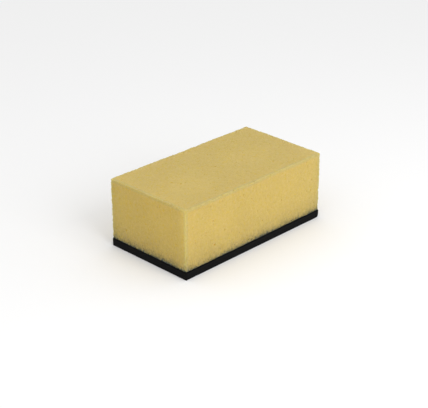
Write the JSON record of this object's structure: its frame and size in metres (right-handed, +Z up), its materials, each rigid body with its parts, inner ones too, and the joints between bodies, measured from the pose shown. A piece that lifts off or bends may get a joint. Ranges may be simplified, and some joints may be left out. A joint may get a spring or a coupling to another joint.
{
  "type": "grout float",
  "caption": "Rectangular hand-held grout float: a soft foam block as the grip, bonded to a flat black rubber sole that works grout into tile joints.",
  "frame": {"origin": "centre of the rubber sole's flat working face, which is the face the float stands on", "axes": "+X along the length, +Y across the width, +Z up from the working face through the foam to the face the hand presses"},
  "size_m": [0.15, 0.08, 0.056],
  "materials": {
    "rubber_sole": "matte",
    "adhesive_layer": "matte",
    "foam_block": "matte"
  },
  "bodies": {
    "root": {"rubber_sole": "rubber_sole", "adhesive_layer": "adhesive_layer", "foam_block": "foam_block"}
  },
  "joints": []
}
